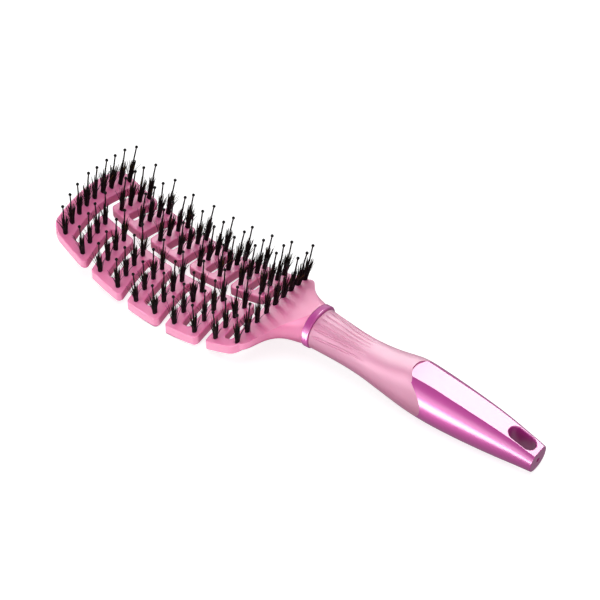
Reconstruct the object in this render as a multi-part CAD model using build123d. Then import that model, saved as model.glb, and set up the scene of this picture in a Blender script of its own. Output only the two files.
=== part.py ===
"""Curved, vented hair brush with mixed tufts: boar bristle round a ball-tipped nylon pin.

Millimetres. +X runs from the head's tip to the handle's end, +Y across, +Z is the bristle side.
The brush lies on its back. While it is built, x = 0 is the middle of the rows of tufts and z = 0
is near the lowest point of the head's crest; at the end everything moves so that the origin is
the middle of the bounding box's bottom.
"""
from build123d import *
from math import asin, atan2, cos, degrees, pi, radians, sin, sqrt
import os

# ---- head: the vented plate -------------------------------------------------
ROWS = 10
COLUMNS = 9
ROW_PITCH = 11.25            # mean distance from row to row, along the head
ROW_SHIFT = 0.8              # the middle rows sit this much nearer the tip than even spacing
HEAD_HALF = 50.6             # from the middle of the rows to the first and the last row
TUFT_HALF_WIDTH = 25.2       # the outermost tuft's distance from the centre line, at the widest
HEAD_TAPER = 1.8             # how much narrower the tuft field gets one HEAD_HALF from its widest
WIDEST_AT = 0.3              # where the head is widest, in HEAD_HALFs towards the handle
ROW_BOW = 2.1                # the end rows bow this much over their half width
LEAST_BOW = 0.25             # a smaller bow is drawn straight
PLATE = 4.9                  # plate thickness, measured upright
BAR_HALF = 3.6               # half the width of the bar that carries one row
CREST_RADIUS = 123.0         # the head is hollow lengthwise: radius of its crest line
CREST_CENTRE_X = 11.8        # and the centre of that arc
CREST_CENTRE_Z = 122.4
CROWN = 5.45                 # crosswise the head is domed: drop at CROWN_AT from the centre line
CROWN_AT = 24.8
CROWN_FADE = 1.1             # the dome is this much flatter one HEAD_HALF from the middle
CROWN_RIDGE = 0.22           # share of the drop that is a straight slope, the rest is a parabola
RIDGE_SOFT = 0.1             # rounds the crest where the two slopes meet
SHOULDER_START = 57.0        # from here to the neck the crest runs straight

EDGE_MARGIN = 3.0            # plate beyond the outermost tuft
LINK = 4.2                   # web that joins two bars at their outer ends
HAIRPIN_INNER = 5.6          # closed end of an open slot, from the centre line
CENTRE_GAP = 2.4             # half the gap between facing hairpins
TIP_BAR = 5.5                # plate ahead of the first row
TIP_BOW = 1.2                # bow of the front edge
TIP_CORNER = 6.0             # plan radii
BACK_CORNER = 7.5
FINGER_FRONT_CORNER = 1.4
FINGER_BACK_CORNER = 2.4
HAIRPIN_CORNER = 2.2
SLOT_ROUND = 1.4
EDGE_ROUND = 0.55            # rounding of the plate's top and bottom edges
EDGE_TOLERANCE = 0.02

# ---- tufts, pins and anchors ------------------------------------------------
HOLE_RADIUS = 1.1
HOLE_DEPTH = 4.2
LEAN_BACK = 0.135            # all tufts lean towards the handle (slope)
LEAN_OUT = 0.155             # the outermost tufts also lean outwards (slope)
TUFT_HEIGHT = 12.5
TUFT_TOP_RADIUS = 1.55
PIN_HEIGHT = 19.2            # from the plate to the middle of the ball
PIN_RADIUS = 0.4
BALL_RADIUS = 0.8
ANCHOR_LENGTH = 2.1          # flat wire across the bottom of the hole
ANCHOR_WIDTH = 0.5
ANCHOR_HEIGHT = 1.2

# ---- neck, collar, grip and handle end --------------------------------------
RING_START = 72.7
RING_LENGTH = 3.4
RING_TOP, RING_BOTTOM, RING_HALF_WIDTH = 14.5, -3.0, 10.5
GRIP_START = 76.25
HANDLE_END = 186.0
END_SLANT = 1.2              # the end face leans, so its lower edge is this much shorter
# The neck's cross-sections: x, top, bottom, half width, squareness, share of the head's dome
NECK = (
    (51.4, 8.4, 1.2, 25.2, 9.0, 1.0),
    (56.2, 9.8, 2.0, 22.3, 6.0, 0.9),
    (61.2, 11.4, 1.3, 16.2, 3.6, 0.5),
    (67.0, 13.2, -0.9, 12.1, 2.6, 0.15),
    (RING_START, 14.3, -2.2, 9.9, 2.2, 0.0),
)
# The grip's cross-sections: x, top, bottom, half width
GRIP = (
    (GRIP_START, 13.1, -2.7, 9.7),
    (88.0, 10.8, -3.4, 9.0),
    (100.0, 9.4, -4.8, 8.9),
    (112.0, 9.8, -7.4, 9.9),
)
# The handle end's: x, height of the flat on top, half width of that flat, bottom, half width
SHELL = (
    (124.0, 11.1, 5.0, -10.4, 11.0),
    (136.0, 9.7, 5.2, -12.2, 10.9),
    (150.0, 7.3, 5.1, -12.9, 10.0),
    (165.0, 4.3, 4.7, -12.9, 8.6),
    (178.0, 0.75, 4.1, -12.5, 6.9),
    (HANDLE_END, -1.9, 3.6, -12.1, 5.9),
)
HANDLE_SQUARENESS = 2.25
BODY_STEPS = 16              # cross-sections that the handle's body is drawn through
FLAT_RUN_IN = 6.0            # the flat's curve goes on this far under the grip
GROOVE_AXIS_HEIGHT = 4.0     # grooves point away from a line at this height
# The grip's rear edge in side view, one rounded lobe on each side (x, z).
LOBE = (
    (121.9, 12.4), (127.2, 9.4), (132.5, 4.6), (134.0, 0.0),
    (133.0, -4.2), (128.6, -7.6), (122.0, -11.6),
)
# The tang runs from the head through the collar and the grip into the handle's end.
TANG_START, TANG_END = RING_START - 4.5, 150.0
# Where the grip's rear edge crosses the flat it turns round in plan (x, half width), above a height
BROW = ((124.2, 0.0), (124.4, 2.2), (125.2, 3.9), (126.3, 5.4), (127.4, 7.5))
BROW_HEIGHT = 9.3
# The tang's ends: x, middle height, half width, half height
TANG_SECTIONS = ((TANG_START, 5.6, 6.4, 4.6), (TANG_END, -2.0, 4.6, 3.8))
SNAP_AT, SNAP_LENGTH, SNAP_HEIGHT = 142.0, 3.0, 0.5
GROOVES = 8
GROOVE_SPREAD = 64.0         # degrees from the top to the outermost groove
GROOVE_RADIUS = 0.7
# Along a groove: x, and the height of its round centre above the grip
GROOVE_RUN = ((77.0, 0.9), (79.2, 0.35), (84.0, 0.28), (92.0, 0.28), (99.0, 0.42), (106.0, 1.1))
SHELL_ROUND = 0.3            # softened edges of the handle's end
RIM_ROUND = 0.4              # softened edges of the hang slot
HANG_SLOT_FRONT, HANG_SLOT_BACK, HANG_SLOT_WIDTH = 171.0, 183.4, 6.8
DIMPLE_RADIUS, DIMPLE_DEPTH = 1.1, 0.9
POINTS_ROUND = 28            # points on a cross-section's curve

UPWARDS = (Align.CENTER, Align.CENTER, Align.MIN)

# ---- how the brush lies: on the head's two long edges and on the handle's belly
HEAD_REST_X, HEAD_REST_Z = 12.0, -11.81
BELLY_REST_X, BELLY_REST_Z = 157.0, -12.97


# ---- the head's shape as functions ------------------------------------------
def crest(x):
    """Height of the head's crest line: an arc, then a straight slope to the neck."""
    def arc(at):
        return CREST_CENTRE_Z - sqrt(CREST_RADIUS**2 - (at - CREST_CENTRE_X) ** 2)
    if x <= SHOULDER_START:
        return arc(x)
    run = SHOULDER_START - CREST_CENTRE_X
    slope = run / sqrt(CREST_RADIUS**2 - run**2)
    return arc(SHOULDER_START) + slope * (x - SHOULDER_START)


def crown(x, y):
    """How far the domed top lies below the crest."""
    drop = CROWN - CROWN_FADE * (x / HEAD_HALF + 0.05) ** 2
    part = abs(y) / CROWN_AT
    slope = sqrt(part**2 + RIDGE_SOFT**2) - RIDGE_SOFT
    return drop * (CROWN_RIDGE * slope + (1 - CROWN_RIDGE) * part**2)


def top(x, y):
    return crest(x) - crown(x, y)


def row_along(row):
    """Distance of a row from the middle, along the chord of the crest."""
    return ROW_PITCH * (row - (ROWS + 1) / 2) - ROW_SHIFT * sin(pi * (row - 1) / (ROWS - 1))


REST_TILT = asin(CREST_CENTRE_X / CREST_RADIUS)


def row_x(row):
    """The row's x on the centre line, with the head tilted as it lies."""
    along = row_along(row)
    rise = CREST_RADIUS - sqrt(CREST_RADIUS**2 - along**2)
    return along * cos(REST_TILT) + rise * sin(REST_TILT)


def tuft_half_width(along):
    return TUFT_HALF_WIDTH - HEAD_TAPER * (along / HEAD_HALF - WIDEST_AT) ** 2


def bow(x):
    return -ROW_BOW * x / HEAD_HALF


def on_line(x, y):
    """A point of the crosswise line that crosses the centre line at x."""
    return (x + bow(x) * (y / TUFT_HALF_WIDTH) ** 2, y)


def across(x, y0, y1):
    """The bowed crosswise line from y0 to y1, straight where the bow is next to nothing."""
    if abs(bow(x)) < LEAST_BOW:
        return Line(on_line(x, y0), on_line(x, y1))
    return ThreePointArc(on_line(x, y0), on_line(x, (y0 + y1) / 2), on_line(x, y1))


def band(x0, x1, y0, y1):
    """The face between two crosswise lines."""
    return make_face([
        across(x0, y0, y1),
        Line(on_line(x0, y1), on_line(x1, y1)),
        across(x1, y1, y0),
        Line(on_line(x1, y0), on_line(x0, y0)),
    ])


def near(vertices, x, y, reach=1.0):
    """The vertices within reach of a plan point."""
    return [v for v in vertices if abs(v.X - x) < reach and abs(v.Y - y) < reach]


def outer_edge(x):
    return tuft_half_width(x - 2.0) + EDGE_MARGIN


def head_plan():
    """The vented plate seen from above: bars joined in pairs outside and by hairpins inside."""
    front, back = row_x(1) - TIP_BAR, row_x(ROWS) + BAR_HALF
    front_y, back_y, wide_x = outer_edge(front), outer_edge(back), WIDEST_AT * HEAD_HALF
    corner_f = (front + TIP_BOW, front_y)
    corner_b = on_line(back, back_y)
    sides = [
        ThreePointArc((corner_f[0], -front_y), (front, 0), corner_f),
        ThreePointArc(corner_f, (wide_x, outer_edge(wide_x)), corner_b),
        across(back, back_y, -back_y),
        ThreePointArc((corner_b[0], -back_y), (wide_x, -outer_edge(wide_x)), (corner_f[0], -front_y)),
    ]
    plate = make_face(sides)
    rounded = near(plate.vertices(), corner_f[0], front_y) + near(plate.vertices(), corner_f[0], -front_y)
    plate = fillet(rounded, TIP_CORNER)
    rounded = near(plate.vertices(), corner_b[0], back_y) + near(plate.vertices(), corner_b[0], -back_y)
    plate = fillet(rounded, BACK_CORNER)

    for row in range(1, ROWS, 2):                      # slots closed at the outer edge
        x0, x1 = row_x(row) + BAR_HALF, row_x(row + 1) - BAR_HALF
        reach = outer_edge((x0 + x1) / 2) - LINK
        slot = band(x0, x1, -reach, reach)
        plate -= fillet(slot.vertices(), SLOT_ROUND)
    for row in range(2, ROWS, 2):                      # slots open at the outer edge, closed inside
        x0, x1 = row_x(row) + BAR_HALF, row_x(row + 1) - BAR_HALF
        for side in (-1, 1):
            slot = band(x0, x1, side * HAIRPIN_INNER, side * (TUFT_HALF_WIDTH + 3 * EDGE_MARGIN))
            inner = [v for v in slot.vertices() if abs(v.Y) < HAIRPIN_INNER + 1]
            plate -= fillet(inner, SLOT_ROUND)
        gap = Pos((x0 + x1) / 2, 0) * Rectangle(x1 - x0 + 4 * BAR_HALF + 2.0, 2 * CENTRE_GAP)
        plate -= gap
    corners = []
    for row in range(2, ROWS, 2):
        front_of, back_of = row_x(row) - BAR_HALF, row_x(row + 1) + BAR_HALF
        for side in (-1, 1):
            for x in (front_of, back_of):
                corners += near(plate.vertices(), *on_line(x, side * CENTRE_GAP), 0.4)
    plate = fillet(corners, HAIRPIN_CORNER)
    for shift, radius in ((0, FINGER_BACK_CORNER), (1, FINGER_FRONT_CORNER)):
        mouths = []
        for row in range(2, ROWS, 2):
            x = row_x(row + shift) + (BAR_HALF, -BAR_HALF)[shift]
            for side in (-1, 1):
                mouths += near(plate.vertices(), *on_line(x, side * outer_edge(x)), 1.2)
        plate = fillet(mouths, radius)
    return plate


def surface(lift):
    """The domed, hollow top surface, lifted by a height."""
    xs = [-66.0 + 6.0 * i for i in range(25)]
    ys = [-36.0 + 4.0 * j for j in range(19)]
    grid = [[Vector(x, y, top(x, y) + lift) for y in ys] for x in xs]
    return Face.make_surface_from_array_of_points(grid)


# ---- cross-sections of the neck and handle ----------------------------------
def oval(x, z_top, z_bottom, half_width, squareness=HANDLE_SQUARENESS, dome=0.0):
    """A superellipse standing across the handle, its middle line following the head's dome."""
    middle, half_height = (z_top + z_bottom) / 2, (z_top - z_bottom) / 2
    points = []
    for i in range(POINTS_ROUND):
        angle = 2 * pi * i / POINTS_ROUND
        c, s = cos(angle), sin(angle)
        y = half_width * (1 if c >= 0 else -1) * abs(c) ** (2 / squareness)
        z = middle + half_height * (1 if s >= 0 else -1) * abs(s) ** (2 / squareness)
        points.append((x, y, z - dome * crown(x, y)))
    return make_face(Spline(*points, periodic=True))


def tang():
    """The bar that the collar, the grip and the handle's end are pushed onto."""
    bar = loft([oval(x, z + h, z - h, w) for x, z, w, h in TANG_SECTIONS])
    part = (SNAP_AT - TANG_START) / (TANG_END - TANG_START)
    low, high = TANG_SECTIONS
    z, w, h = (low[i] + (high[i] - low[i]) * part for i in (1, 2, 3))
    section = oval(SNAP_AT, z + h + SNAP_HEIGHT, z - h - SNAP_HEIGHT, w + SNAP_HEIGHT)
    return bar + extrude(section, SNAP_LENGTH, dir=(1, 0, 0))


def crown_over_flat(flat, chord, bottom, half_width):
    """The top of the oval that a flat of half width chord at height flat cuts."""
    share = (1 - (chord / half_width) ** HANDLE_SQUARENESS) ** (1 / HANDLE_SQUARENESS)
    return (2 * flat - bottom * (1 - share)) / (1 + share)


def between(table, x):
    """The values at x on a smooth curve through the rows (x, values...) of a table."""
    last = len(table) - 1
    low = max(k for k in range(last) if table[k][0] <= x)
    run = table[low + 1][0] - table[low][0]
    part = (x - table[low][0]) / run

    def slope(row, column):
        before, after = table[max(row - 1, 0)], table[min(row + 1, last)]
        return (after[column] - before[column]) / (after[0] - before[0])

    values = []
    for column in range(1, len(table[0])):
        rise = table[low + 1][column] - table[low][column]
        ease = part**2 * (3 - 2 * part)
        leave = part * (1 - part) ** 2 * run * slope(low, column)
        arrive = part**2 * (1 - part) * run * slope(low + 1, column)
        values.append(table[low][column] + ease * rise + leave - arrive)
    return values


def handle_body():
    """The grip and the handle's end as one smooth body, before the flat is cut."""
    sections = list(GRIP)
    for x, flat, chord, bottom, half_width in SHELL:
        sections.append((x, crown_over_flat(flat, chord, bottom, half_width), bottom, half_width))
    step = (HANDLE_END - GRIP_START) / BODY_STEPS
    stations = [GRIP_START + step * i for i in range(BODY_STEPS)] + [HANDLE_END]
    return loft([oval(x, *between(sections, x)) for x in stations])


def above_flat():
    """Everything over the flat along the handle's end."""
    line = [(x, 0, flat) for x, flat, *_ in SHELL]
    front, back = line[0], line[-1]
    rise = (line[1][2] - front[2]) / (line[1][0] - front[0])
    start = (front[0] - FLAT_RUN_IN, 0, front[2] - rise * FLAT_RUN_IN * 0.6)
    fall = (back[2] - line[-2][2]) / (back[0] - line[-2][0])
    end = (back[0] + 10, 0, back[2] + 10 * fall)
    curve = Spline(start, *line, end)
    frame = Polyline(end, (end[0], 0, 40), (start[0], 0, 40), start)
    return extrude(make_face([curve] + list(frame.edges())), 20, dir=(0, 1, 0), both=True)


# ---- tufts ------------------------------------------------------------------
def tuft_places(row):
    """Columns of a row: both end rows are full, the others leave the centre free."""
    return [c for c in range(1, COLUMNS + 1) if row in (1, ROWS) or c != (COLUMNS + 1) // 2]


def tuft_place(row, column):
    """The tuft's frame: origin on the plate's top, z along the tuft."""
    middle = (COLUMNS + 1) / 2
    side = (column - middle) / (middle - 1)
    y = side * tuft_half_width(row_along(row))
    x = on_line(row_x(row), y)[0]
    lean = Vector(LEAN_BACK, LEAN_OUT * side, 1).normalized()
    return Location(Plane(origin=(x, y, top(x, y)), x_dir=Vector(0, 1, 0).cross(lean), z_dir=lean))


def row_of(shape, row):
    return Compound([tuft_place(row, column) * shape for column in tuft_places(row)])


def hole_shape():
    return Pos(0, 0, -HOLE_DEPTH) * Cylinder(HOLE_RADIUS, HOLE_DEPTH + 3, align=UPWARDS)


def tuft_shape():
    """Bristles bound in the hole and flaring above it, open in the middle for the pin."""
    seat = HOLE_DEPTH - ANCHOR_HEIGHT
    root = Pos(0, 0, -seat) * Cylinder(HOLE_RADIUS, seat + 0.5, align=UPWARDS)
    flare = Pos(0, 0, 0.5) * Cone(HOLE_RADIUS, TUFT_TOP_RADIUS, TUFT_HEIGHT - 0.5, align=UPWARDS)
    bore = Pos(0, 0, -seat) * Cylinder(PIN_RADIUS, seat + TUFT_HEIGHT, align=UPWARDS)
    return (root + flare - bore).solid()


def pin_shape():
    seat = HOLE_DEPTH - ANCHOR_HEIGHT
    shaft = Pos(0, 0, -seat) * Cylinder(PIN_RADIUS, seat + PIN_HEIGHT, align=UPWARDS)
    return (shaft + Pos(0, 0, PIN_HEIGHT) * Sphere(BALL_RADIUS)).solid()


def anchor_shape():
    return (Pos(0, 0, -HOLE_DEPTH) * Box(ANCHOR_WIDTH, ANCHOR_LENGTH, ANCHOR_HEIGHT, align=UPWARDS)).solid()


# ---- the pieces -------------------------------------------------------------
def on_surface(edge, lift):
    """Whether an edge of the plate lies on its top surface, lifted by a height."""
    middle, start = edge.center(), edge @ 0
    return all(abs(p.Z - top(p.X, p.Y) - lift) < EDGE_TOLERANCE for p in (middle, start))


def head_frame():
    plate = extrude(Pos(0, 0, -40) * head_plan(), 80)
    plate = plate & extrude(surface(-PLATE), 60, dir=(0, 0, 1))
    below_top = extrude(surface(0), 60, dir=(0, 0, -1))
    plate = plate & below_top
    for lift in (0, -PLATE):
        plate = fillet([edge for edge in plate.edges() if on_surface(edge, lift)], EDGE_ROUND)
    neck = loft([oval(*section) for section in NECK]) & below_top
    head = plate + neck + tang()
    for row in range(1, ROWS + 1):
        head -= [tuft_place(row, column) * hole_shape() for column in tuft_places(row)]
    return head


def collar_ring():
    ring = extrude(oval(RING_START, RING_TOP, RING_BOTTOM, RING_HALF_WIDTH), RING_LENGTH, dir=(1, 0, 0))
    ring = fillet(ring.edges(), 0.7)
    return ring - tang()


def rear_region():
    """Everything behind the grip's rear edge."""
    edge = [Spline(*[(x, 0, z) for x, z in LOBE])]
    (x0, z0), (x1, z1) = LOBE[0], LOBE[-1]
    far_x = HANDLE_END + 20
    frame = Polyline((x1, 0, z1), (x1, 0, -40), (far_x, 0, -40), (far_x, 0, 40), (x0, 0, 40), (x0, 0, z0))
    region = extrude(make_face(edge + frame.edges()), 20, dir=(0, 1, 0), both=True)
    brow = [(x, -y, BROW_HEIGHT) for x, y in reversed(BROW[1:])] + [(x, y, BROW_HEIGHT) for x, y in BROW]
    (x2, y2), x3 = BROW[-1], BROW[0][0] - 10
    ends = Polyline((x2, y2, BROW_HEIGHT), (x3, y2, BROW_HEIGHT), (x3, -y2, BROW_HEIGHT), (x2, -y2, BROW_HEIGHT))
    return region - extrude(make_face([Spline(*brow)] + list(ends.edges())), 30, dir=(0, 0, 1))


def groove(body, angle_degrees):
    """A cutter that follows the grip's surface, runs in behind the collar and out before the waist."""
    angle = radians(angle_degrees)
    points = []
    for x, lift in GROOVE_RUN:
        middle = Vector(x, 0, GROOVE_AXIS_HEIGHT)
        out = Vector(0, sin(angle), cos(angle))
        inside = (Line(middle, middle + out * 30) & body).edges()[0]
        points.append(inside @ 1 + out * lift)
    path = Spline(*points)
    return sweep(Plane(origin=path @ 0, z_dir=path % 0) * Circle(GROOVE_RADIUS), path=path)


def grip_sleeve(body):
    sleeve = body - rear_region() - tang()
    step = 2 * GROOVE_SPREAD / (GROOVES - 1)
    return sleeve - [groove(body, -GROOVE_SPREAD + step * i) for i in range(GROOVES)]


def on_slot_wall(point):
    """Whether a point lies on the hang slot's wall."""
    radius = HANG_SLOT_WIDTH / 2
    front, back = HANG_SLOT_FRONT + radius, HANG_SLOT_BACK - radius
    nearest = min(max(point.X, front), back)
    return abs(sqrt((point.X - nearest) ** 2 + point.Y**2) - radius) < EDGE_TOLERANCE


def is_sharp(edge):
    """Whether an edge of the handle's end is on the end face or along the flat."""
    middle = edge.center()
    along_flat = edge.length > 40 and middle.Z > 0 and abs(middle.Y) > 1
    return middle.X > HANDLE_END - END_SLANT - 0.5 or along_flat


def end_shell(body):
    shell = (body & rear_region()) - above_flat()
    z_top, z_bottom = SHELL[-1][1] + 2, SHELL[-1][3] - 2
    slant = Polyline((HANDLE_END, 0, z_top), (HANDLE_END + 5, 0, z_top),
                     (HANDLE_END + 5, 0, z_bottom), (HANDLE_END - END_SLANT, 0, z_bottom), close=True)
    shell -= extrude(make_face(slant.edges()), 20, dir=(0, 1, 0), both=True)
    shell = fillet([edge for edge in shell.edges() if is_sharp(edge)], SHELL_ROUND)
    slot = Pos((HANG_SLOT_FRONT + HANG_SLOT_BACK) / 2, 0, -30) * SlotOverall(
        HANG_SLOT_BACK - HANG_SLOT_FRONT, HANG_SLOT_WIDTH)
    hole = extrude(slot, 60)
    shell -= hole
    mouth = [edge for edge in shell.edges() if on_slot_wall(edge @ 0) and on_slot_wall(edge @ 0.5)
             and abs((edge @ 1).Z - (edge @ 0).Z) < 6]
    shell = fillet(mouth, RIM_ROUND)
    middle_z = (SHELL[-1][1] + SHELL[-1][3]) / 2
    dimple = Plane(origin=(HANDLE_END + 1, 0, middle_z), z_dir=(-1, 0, 0)) * Cylinder(
        DIMPLE_RADIUS, 1 + END_SLANT / 2 + DIMPLE_DEPTH, align=UPWARDS)
    return shell - tang() - dimple


def build():
    body = handle_body()
    nodes = {
        "head_frame": head_frame(),
        "collar_ring": collar_ring(),
        "grip_sleeve": grip_sleeve(body),
        "handle_end": end_shell(body),
    }
    anchors = []
    for row in range(1, ROWS + 1):
        nodes[f"bristle_row_{row:02d}"] = row_of(tuft_shape(), row)
        nodes[f"pin_row_{row:02d}"] = row_of(pin_shape(), row)
        anchors += row_of(anchor_shape(), row).solids()
    nodes["tuft_anchors"] = Compound(anchors)
    return nodes


def main():
    os.makedirs("parts", exist_ok=True)
    nodes = build()
    rest_turn = degrees(atan2(BELLY_REST_Z - HEAD_REST_Z, BELLY_REST_X - HEAD_REST_X))
    turned = Rot(0, rest_turn, 0)
    box = Compound([turned * s for shape in nodes.values() for s in shape.solids()]).bounding_box()
    settle = Pos(-(box.min.X + box.max.X) / 2, 0, -box.min.Z) * turned
    print("settled by", settle.position, "turn", rest_turn, "size", box.size)
    for name, shape in nodes.items():
        placed = settle * Compound(list(shape.solids()))
        export_step(placed, f"parts/{name}.step")
        print(name, len(placed.solids()), round(placed.volume, 1))


main()
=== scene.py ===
"""Looks for the vented hair brush: bristle tufts, pins, soft-touch plastic, tinted plating, studio.

Metres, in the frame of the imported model: +X to the handle's end, +Z the bristle side.
"""
import math
import random

import bmesh
import bpy
import numpy as np
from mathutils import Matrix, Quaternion, Vector


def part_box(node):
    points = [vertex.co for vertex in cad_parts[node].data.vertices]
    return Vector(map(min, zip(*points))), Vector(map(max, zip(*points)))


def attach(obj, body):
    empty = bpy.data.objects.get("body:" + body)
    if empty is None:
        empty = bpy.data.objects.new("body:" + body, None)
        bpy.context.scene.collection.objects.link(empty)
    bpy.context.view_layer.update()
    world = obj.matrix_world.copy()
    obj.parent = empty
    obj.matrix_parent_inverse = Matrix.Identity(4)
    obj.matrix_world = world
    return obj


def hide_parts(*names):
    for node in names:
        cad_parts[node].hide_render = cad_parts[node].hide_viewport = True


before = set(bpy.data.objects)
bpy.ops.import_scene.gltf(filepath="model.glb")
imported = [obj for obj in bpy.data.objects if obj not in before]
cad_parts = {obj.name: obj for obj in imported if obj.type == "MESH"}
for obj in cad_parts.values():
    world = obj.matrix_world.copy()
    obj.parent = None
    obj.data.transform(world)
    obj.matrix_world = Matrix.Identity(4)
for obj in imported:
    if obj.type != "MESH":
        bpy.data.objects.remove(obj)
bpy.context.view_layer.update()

MM = 0.001
MICRONS = 1e6                # in a metre
BODY = "root"
ROWS = 10

# ---- camera -------------------------------------------------------------------
AIM = Vector((-17.55, 23.16, 1.15)) * MM
AZIMUTH = 35.91              # degrees, from -Y towards +X
ELEVATION = 43.06
ROLL = 0.63
DISTANCE = 0.974
LENS = 132.0
SENSOR = 36.0


def camera():
    """Looks down at AIM from in front and from the handle's side."""
    azimuth, elevation = math.radians(AZIMUTH), math.radians(ELEVATION)
    back = Vector((math.sin(azimuth) * math.cos(elevation), -math.cos(azimuth) * math.cos(elevation),
                   math.sin(elevation)))
    data = bpy.data.cameras.new("camera")
    data.lens, data.sensor_width = LENS, SENSOR
    data.clip_start, data.clip_end = 0.01, 20.0
    seen = bpy.data.objects.new("camera", data)
    seen.location = AIM + back * DISTANCE
    turned = back.to_track_quat("Z", "Y") @ Quaternion((0, 0, 1), math.radians(ROLL))
    seen.rotation_euler = turned.to_euler()
    bpy.context.collection.objects.link(seen)
    bpy.context.scene.camera = seen


# ---- studio -------------------------------------------------------------------
FLOOR_SIZE = 8.0
FLOOR_GLOW = 0.75            # how brightly the table shines by itself
SKY = (0.30, 0.95, 0.12)     # light from below, from the horizon and from overhead
# Soft boxes: place, size and brightness. They light the brush and don't show in its gloss.
KEY_OVERHEAD = ((0.05, -0.15, 1.3), (1.1, 1.1), 2.5)
KEY_IN_FRONT = ((-0.1, -1.1, 0.3), (1.2, 0.5), 2.0)
# Cards that only show in the gloss of the plating, placed from the middle of the handle's end.
PLATED = ("handle_end", "collar_ring")
CARD_OVER_FLAT = ((-0.02, 0.73, 0.95), (0.8, 0.3), 7.6)
CARD_BESIDE = ((-0.12, -1.18, 0.33), (1.4, 0.6), 0.7)
CARD_BELOW = ((-0.05, -0.162), (0.6, 0.26), 6.5)           # lies on the table
# Cards that only show in the gloss of the plastic, placed from the origin.
PLASTIC = ("head_frame", "grip_sleeve")
CARD_OVER_HEAD = ((-0.56, 0.77, 0.88), (1.2, 1.2), 7.5)
CARD_BEFORE_HEAD = ((0.0, -0.226), (0.6, 0.4), 2.8)        # lies on the table
CARD_IN_FRONT = ((-0.5, -0.8, 0.7), (1.0, 1.0), 7.5)
CARD_LIFT = 1.0 * MM         # a lying card's height above the table


def soft_box(name, place, aim, size, brightness):
    """A rectangular light of an even brightness."""
    data = bpy.data.lights.new(name, "AREA")
    data.shape = "RECTANGLE"
    data.size, data.size_y = size
    data.energy = brightness * math.pi * size[0] * size[1]
    light = bpy.data.objects.new(name, data)
    light.location = place
    light.rotation_euler = (Vector(place) - Vector(aim)).to_track_quat("Z", "Y").to_euler()
    bpy.context.collection.objects.link(light)
    return light


def key(name, light):
    """A soft box that aims at the brush and lights its surfaces without showing in them."""
    place, size, brightness = light
    soft_box(name, place, (0, 0, 0), size, brightness).visible_glossy = False


def gloss_only(light, nodes):
    """Makes a light show in the gloss of some CAD nodes and nowhere else."""
    light.visible_diffuse = False
    receivers = bpy.data.collections.new(light.name + "_receivers")
    for node in nodes:
        receivers.objects.link(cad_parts[node])
    light.light_linking.receiver_collection = receivers


def card(name, origin, light, nodes):
    """A soft box that aims at origin and only shows in gloss."""
    place, size, brightness = light
    gloss_only(soft_box(name, origin + Vector(place), origin, size, brightness), nodes)


def lying_card(name, origin, light, nodes):
    """A soft box that lies on the table, faces up and only shows in gloss."""
    (x, y), size, brightness = light
    place = Vector((origin.x + x, origin.y + y, CARD_LIFT))
    gloss_only(soft_box(name, place, place + Vector((0, 0, 1)), size, brightness), nodes)


def sky():
    """White light, brightest at the horizon, which is at 0.5 on the ramp."""
    world = bpy.data.worlds.new("studio")
    bpy.context.scene.world = world
    world.use_nodes = True
    tree = world.node_tree
    where = tree.nodes.new("ShaderNodeTexCoord")
    parts = tree.nodes.new("ShaderNodeSeparateXYZ")
    tree.links.new(where.outputs["Generated"], parts.inputs["Vector"])
    height = tree.nodes.new("ShaderNodeMapRange")
    height.inputs["From Min"].default_value = -1.0
    tree.links.new(parts.outputs["Z"], height.inputs["Value"])
    below, horizon, above = [(tone, tone, tone) for tone in SKY]
    tone = ramp(tree, height.outputs["Result"], [(0.49, below), (0.5, horizon), (1.0, above)])
    tree.links.new(tone, tree.nodes["Background"].inputs["Color"])


def table():
    """A plain pale table, which neither lights the brush nor shows in its gloss."""
    bpy.ops.mesh.primitive_plane_add(size=FLOOR_SIZE, location=(0, 0, 0))
    floor = bpy.context.object
    floor.name = "floor"
    floor.data.materials.append(floor_material())
    floor.visible_diffuse = floor.visible_glossy = False


def studio():
    """Sky, lights and table."""
    sky()
    key("key_overhead", KEY_OVERHEAD)
    key("key_in_front", KEY_IN_FRONT)
    low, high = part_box("handle_end")
    handle = (Vector(low) + Vector(high)) / 2
    card("card_over_flat", handle, CARD_OVER_FLAT, PLATED)
    card("card_beside", handle, CARD_BESIDE, PLATED)
    lying_card("card_below", handle, CARD_BELOW, PLATED)
    origin = Vector((0, 0, 0))
    card("card_over_head", origin, CARD_OVER_HEAD, PLASTIC)
    lying_card("card_before_head", origin, CARD_BEFORE_HEAD, PLASTIC)
    card("card_in_front", origin, CARD_IN_FRONT, PLASTIC)
    table()


# ---- materials ----------------------------------------------------------------
# The two tones that the mottling mixes.
HEAD_PINK = ((0.75, 0.125, 0.33), (0.79, 0.14, 0.36))
GRIP_PINK = ((0.54, 0.15, 0.29), (0.58, 0.165, 0.32))
PLATED_PINK = ((0.51, 0.004, 0.29), (0.55, 0.005, 0.31))


def material(name):
    """A new node material, with its tree and its Principled node."""
    made = bpy.data.materials.new(name)
    made.use_nodes = True
    return made, made.node_tree, made.node_tree.nodes["Principled BSDF"]


def noise(tree, scale, detail=2.0):
    """Noise in object space; scale is in repeats per metre."""
    where = tree.nodes.new("ShaderNodeTexCoord")
    made = tree.nodes.new("ShaderNodeTexNoise")
    made.inputs["Scale"].default_value = scale
    made.inputs["Detail"].default_value = detail
    tree.links.new(where.outputs["Object"], made.inputs["Vector"])
    return made.outputs["Fac"]


def ramp(tree, value, stops):
    """A colour ramp over value, from (position, colour) stops."""
    made = tree.nodes.new("ShaderNodeValToRGB")
    elements = made.color_ramp.elements
    while len(elements) < len(stops):
        elements.new(0.5)
    for element, (position, colour) in zip(elements, stops):
        element.position = position
        element.color = (*colour, 1)
    tree.links.new(value, made.inputs["Fac"])
    return made.outputs["Color"]


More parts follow.
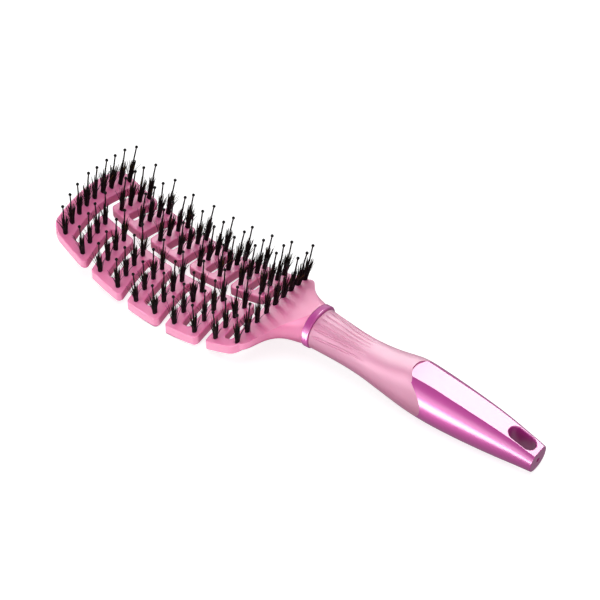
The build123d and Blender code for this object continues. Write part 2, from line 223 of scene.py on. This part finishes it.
def spread(tree, value, low, high):
    """Maps value, from 0 to 1, onto low to high."""
    made = tree.nodes.new("ShaderNodeMapRange")
    made.inputs["To Min"].default_value = low
    made.inputs["To Max"].default_value = high
    tree.links.new(value, made.inputs["Value"])
    return made.outputs["Result"]


def bump(tree, height, distance):
    """A normal that follows a height; distance is the height's size in metres."""
    made = tree.nodes.new("ShaderNodeBump")
    made.inputs["Distance"].default_value = distance
    tree.links.new(height, made.inputs["Height"])
    return made.outputs["Normal"]


def floor_material():
    """Pale, hardly visibly cloudy card that shines a little by itself."""
    made, tree, shader = material("pale_floor")
    tone = ramp(tree, noise(tree, 3.0), [(0.3, (0.50, 0.50, 0.50)), (0.7, (0.53, 0.53, 0.53))])
    tree.links.new(tone, shader.inputs["Base Color"])
    shader.inputs["Roughness"].default_value = 0.7
    shader.inputs["Specular IOR Level"].default_value = 0.2
    shader.inputs["Emission Color"].default_value = (1, 1, 1, 1)
    shader.inputs["Emission Strength"].default_value = FLOOR_GLOW
    return made


def soft_touch(name, tones):
    """Satin plastic: faint mottling, a very fine tooth, a broad white sheen, light under its surface."""
    made, tree, shader = material(name)
    mottling = ramp(tree, noise(tree, 55.0, 3.0), [(0.3, tones[0]), (0.7, tones[1])])
    tree.links.new(mottling, shader.inputs["Base Color"])
    tree.links.new(spread(tree, noise(tree, 400.0), 0.42, 0.54), shader.inputs["Roughness"])
    tree.links.new(bump(tree, noise(tree, 4200.0), 0.00002), shader.inputs["Normal"])
    shader.inputs["Specular IOR Level"].default_value = 0.3
    shader.inputs["Subsurface Weight"].default_value = 0.2
    shader.inputs["Subsurface Radius"].default_value = (1.0, 0.15, 0.35)
    shader.inputs["Subsurface Scale"].default_value = 2.5 * MM
    shader.inputs["Coat Weight"].default_value = 1.0
    shader.inputs["Coat Roughness"].default_value = 0.5
    shader.inputs["Coat IOR"].default_value = 1.6
    shader.inputs["Sheen Weight"].default_value = 0.08
    shader.inputs["Sheen Roughness"].default_value = 0.4
    return made


def plating():
    """Candy-tinted plating under a clear, strongly reflecting lacquer."""
    made, tree, shader = material("plated_pink")
    tone = ramp(tree, noise(tree, 40.0), [(0.35, PLATED_PINK[0]), (0.65, PLATED_PINK[1])])
    tree.links.new(tone, shader.inputs["Base Color"])
    shader.inputs["Metallic"].default_value = 0.3
    tree.links.new(spread(tree, noise(tree, 500.0, 3.0), 0.48, 0.54), shader.inputs["Roughness"])
    tree.links.new(bump(tree, noise(tree, 900.0), 0.000004), shader.inputs["Normal"])
    shader.inputs["Coat Weight"].default_value = 1.0
    shader.inputs["Coat Roughness"].default_value = 0.26
    shader.inputs["Coat IOR"].default_value = 2.3
    return made


def bristle_material():
    """Dark bristle: nearly black at the root, brown towards the tip, each hair its own tone."""
    made, tree, shader = material("bristle")
    along = tree.nodes.new("ShaderNodeAttribute")
    along.attribute_name = "along"
    tone = tree.nodes.new("ShaderNodeAttribute")
    tone.attribute_name = "tone"
    black = ramp(tree, along.outputs["Fac"], [(0.0, (0.002, 0.0015, 0.0015)), (1.0, (0.007, 0.005, 0.004))])
    golden = ramp(tree, along.outputs["Fac"], [(0.0, (0.002, 0.0015, 0.0015)), (0.7, (0.006, 0.004, 0.003)),
                                               (1.0, (0.22, 0.10, 0.02))])
    share = ramp(tree, tone.outputs["Fac"], [(0.86, (0, 0, 0)), (1.0, (1, 1, 1))])
    mix = tree.nodes.new("ShaderNodeMix")
    mix.data_type = "RGBA"
    tree.links.new(share, mix.inputs["Factor"])
    tree.links.new(black, mix.inputs["A"])
    tree.links.new(golden, mix.inputs["B"])
    tree.links.new(mix.outputs["Result"], shader.inputs["Base Color"])
    shader.inputs["Roughness"].default_value = 0.45
    shader.inputs["Specular IOR Level"].default_value = 0.2
    return made


def pin_material():
    """Black nylon, a little glossy."""
    made, tree, shader = material("pin_nylon")
    tone = ramp(tree, noise(tree, 300.0), [(0.3, (0.003, 0.003, 0.003)), (0.7, (0.006, 0.005, 0.006))])
    tree.links.new(tone, shader.inputs["Base Color"])
    tree.links.new(spread(tree, noise(tree, 900.0), 0.16, 0.24), shader.inputs["Roughness"])
    shader.inputs["Specular IOR Level"].default_value = 0.25
    return made


def anchor_material():
    """Dull steel wire."""
    made, tree, shader = material("anchor_wire")
    tone = ramp(tree, noise(tree, 600.0), [(0.3, (0.45, 0.44, 0.42)), (0.7, (0.6, 0.59, 0.56))])
    tree.links.new(tone, shader.inputs["Base Color"])
    shader.inputs["Metallic"].default_value = 1.0
    shader.inputs["Roughness"].default_value = 0.35
    return made


# ---- tufts --------------------------------------------------------------------
HAIRS = 84                   # hairs in a tuft
STRAYS = 11                  # of them, those that stick out
CLUMPS = 6                   # the others part into so many pointed clumps
HAIR_SIDES = 4
HAIR_STEPS = 5
HAIR_RADIUS = 0.135 * MM
HAIR_TAPER = 0.6             # share of its radius that a hair loses up to its tip
HAIR_BEND = (1.5, 2.4)       # 1 is a straight hair, more is one that bends later
HAIR_START = 2.2 * MM        # above the bottom of the hole
ROOT_RADIUS = 1.0 * MM
TUFT_LENGTH = (11.2 * MM, 14.2 * MM)
GATHER = 0.42                # how much of its offset from the clump's middle a hair keeps at its tip
CLUMP_REACH = (0.45 * MM, 1.6 * MM)
CLUMP_RISE = (0.86, 1.0)     # share of its length by which a hair rises
STRAY_RISE = (0.7, 1.0)
STRAY_LEAN = (0.10, 0.32)
STRAY_TURN = 0.6             # spread of a stray's direction around its place, in radians
PIN_RADIUS = 0.38 * MM
PIN_TAPER = 0.12
PIN_SIDES = 12
PIN_STEPS = 8
PIN_SWAY = 0.35 * MM
BALL_RADIUS = 0.74 * MM
BALL_STEPS = 9
BALL_START = 0.14 * math.pi  # where the pin meets its ball
BALL_END = 0.98 * math.pi
SEEDS_PER_ROW = 100
PIN_SEEDS = 7000             # the pins' first seed; the tufts' is 0


def islands(node):
    """The separate solids of a CAD node, from -Y to +Y, as arrays of points."""
    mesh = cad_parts[node].data
    points = np.array([v.co[:] for v in mesh.vertices])
    keys, same = np.unique(np.round(points * MICRONS).astype(int), axis=0, return_inverse=True)
    parent = list(range(len(keys)))

    def root(i):
        while parent[i] != i:
            parent[i] = parent[parent[i]]
            i = parent[i]
        return i

    same = same.ravel()
    for edge in mesh.edges:
        a, b = root(same[edge.vertices[0]]), root(same[edge.vertices[1]])
        parent[a] = b
    label = np.array([root(i) for i in same])
    found = [points[label == value] for value in np.unique(label)]
    return sorted(found, key=lambda cloud: cloud[:, 1].mean())


def axis_of(cloud):
    """The foot, the direction and the length of a slender solid that stands up."""
    middle = cloud.mean(axis=0)
    direction = np.linalg.svd(cloud - middle, full_matrices=False)[2][0]
    if direction[2] < 0:
        direction = -direction
    along = (cloud - middle) @ direction
    return Vector(middle + along.min() * direction), Vector(direction), float(np.ptp(along))


def tube(mesh, path, radii, sides, layers=(), values=()):
    """Adds a closed tube along path to a bmesh. A layer's value is one number, or one per ring."""
    rings = []
    for i, (point, radius) in enumerate(zip(path, radii)):
        ahead = path[min(i + 1, len(path) - 1)] - path[max(i - 1, 0)]
        side = ahead.cross(Vector((0, 1, 0.1))).normalized()     # no hair or pin points that way
        other = ahead.cross(side).normalized()
        ring = []
        for k in range(sides):
            turn = 2 * math.pi * k / sides
            made = mesh.verts.new(point + radius * (math.cos(turn) * side + math.sin(turn) * other))
            for layer, value in zip(layers, values):
                made[layer] = value[i] if isinstance(value, list) else value
            ring.append(made)
        rings.append(ring)
    for low, high in zip(rings, rings[1:]):
        for k in range(sides):
            mesh.faces.new((low[k], low[(k + 1) % sides], high[(k + 1) % sides], high[k]))
    mesh.faces.new(rings[0][::-1])
    mesh.faces.new(rings[-1])


def finish_piece(mesh, name, look, node):
    """Turns a bmesh into a piece that stands for a CAD node."""
    bmesh.ops.recalc_face_normals(mesh, faces=mesh.faces)
    data = bpy.data.meshes.new(name)
    mesh.to_mesh(data)
    mesh.free()
    for face in data.polygons:
        face.use_smooth = True
    data.materials.append(look)
    piece = bpy.data.objects.new(name, data)
    bpy.context.collection.objects.link(piece)
    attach(piece, BODY)
    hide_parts(node)


def across(up):
    """Two directions square to up and to each other."""
    side = up.cross(Vector((0, 1, 0))).normalized()
    return side, up.cross(side)


def hair(mesh, layers, start, up, rise, tip, chance):
    """One hair: from start it rises along up by a share of its length, bends out by tip and thins."""
    length = chance.uniform(*TUFT_LENGTH)
    bend = chance.uniform(*HAIR_BEND)
    path, radii, along = [], [], []
    for i in range(HAIR_STEPS + 1):
        part = i / HAIR_STEPS
        path.append(start + up * length * rise * part + tip * part**bend)
        radii.append(HAIR_RADIUS * (1 - HAIR_TAPER * part**3))
        along.append(part)
    tube(mesh, path, radii, HAIR_SIDES, layers, [along, chance.random()])


def tuft(mesh, layers, foot, up, chance):
    """A tuft's hairs: a tight round foot, then pointed clumps that part, and a few strays."""
    side, other = across(up)

    def spoke(turn):
        return math.cos(turn) * side + math.sin(turn) * other

    reach = [chance.uniform(*CLUMP_REACH) for _ in range(CLUMPS)]
    rise = [chance.uniform(*CLUMP_RISE) for _ in range(CLUMPS)]
    for i in range(HAIRS):
        turn = chance.uniform(0, 2 * math.pi)
        out = spoke(turn) * math.sqrt(chance.random()) * ROOT_RADIUS
        if i < STRAYS:
            lean = spoke(turn + chance.gauss(0, STRAY_TURN)) * chance.uniform(*STRAY_LEAN)
            tip = lean * TUFT_LENGTH[0]
            hair(mesh, layers, foot + out, up, chance.uniform(*STRAY_RISE), tip, chance)
            continue
        clump = int(turn / (2 * math.pi) * CLUMPS) % CLUMPS
        middle = spoke((clump + 0.5) * 2 * math.pi / CLUMPS) * reach[clump]
        tip = middle - out * (1 - GATHER)
        hair(mesh, layers, foot + out, up, rise[clump], tip, chance)


def bristles(row, look):
    """All the tufts of a row, as loose hairs."""
    node = f"bristle_row_{row:02d}"
    mesh = bmesh.new()
    layers = [mesh.verts.layers.float.new("along"), mesh.verts.layers.float.new("tone")]
    for column, cloud in enumerate(islands(node)):
        foot, up, _ = axis_of(cloud)
        chance = random.Random(SEEDS_PER_ROW * row + column)
        tuft(mesh, layers, foot + up * HAIR_START, up, chance)
    finish_piece(mesh, f"bristles_{row:02d}", look, node)


def pin(mesh, foot, up, length, chance):
    """A slightly bent pin that narrows towards its ball."""
    side, other = across(up)
    sway = chance.gauss(0, PIN_SWAY) * side + chance.gauss(0, PIN_SWAY) * other
    shaft = length - BALL_RADIUS
    neck = shaft - BALL_RADIUS * math.cos(BALL_START)
    path, radii = [], []
    for i in range(PIN_STEPS):
        part = i / PIN_STEPS
        path.append(foot + up * neck * part + sway * part**2)
        radii.append(PIN_RADIUS * (1 - PIN_TAPER * part))
    middle = foot + up * shaft + sway
    for i in range(BALL_STEPS + 1):
        turn = BALL_START + (BALL_END - BALL_START) * i / BALL_STEPS
        path.append(middle - up * BALL_RADIUS * math.cos(turn))
        radii.append(BALL_RADIUS * math.sin(turn))
    tube(mesh, path, radii, PIN_SIDES)


def pins(row, look):
    """All the pins of a row."""
    node = f"pin_row_{row:02d}"
    mesh = bmesh.new()
    for column, cloud in enumerate(islands(node)):
        foot, up, length = axis_of(cloud)
        chance = random.Random(PIN_SEEDS + SEEDS_PER_ROW * row + column)
        pin(mesh, foot, up, length, chance)
    finish_piece(mesh, f"pins_{row:02d}", look, node)


# ---- the brush ----------------------------------------------------------------
def dress(node, look):
    """Gives a CAD node its material."""
    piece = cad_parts[node]
    piece.data.materials.clear()
    piece.data.materials.append(look)


def brush():
    """Materials for the CAD nodes, and loose hairs and swaying pins for the rows."""
    plated = plating()
    dress("head_frame", soft_touch("head_pink", HEAD_PINK))
    dress("grip_sleeve", soft_touch("grip_pink", GRIP_PINK))
    dress("collar_ring", plated)
    dress("handle_end", plated)
    dress("tuft_anchors", anchor_material())
    dark, nylon = bristle_material(), pin_material()
    for row in range(1, ROWS + 1):
        bristles(row, dark)
        pins(row, nylon)


camera()
studio()
brush()
bpy.context.scene.view_settings.view_transform = "Standard"
bpy.context.view_layer.update()
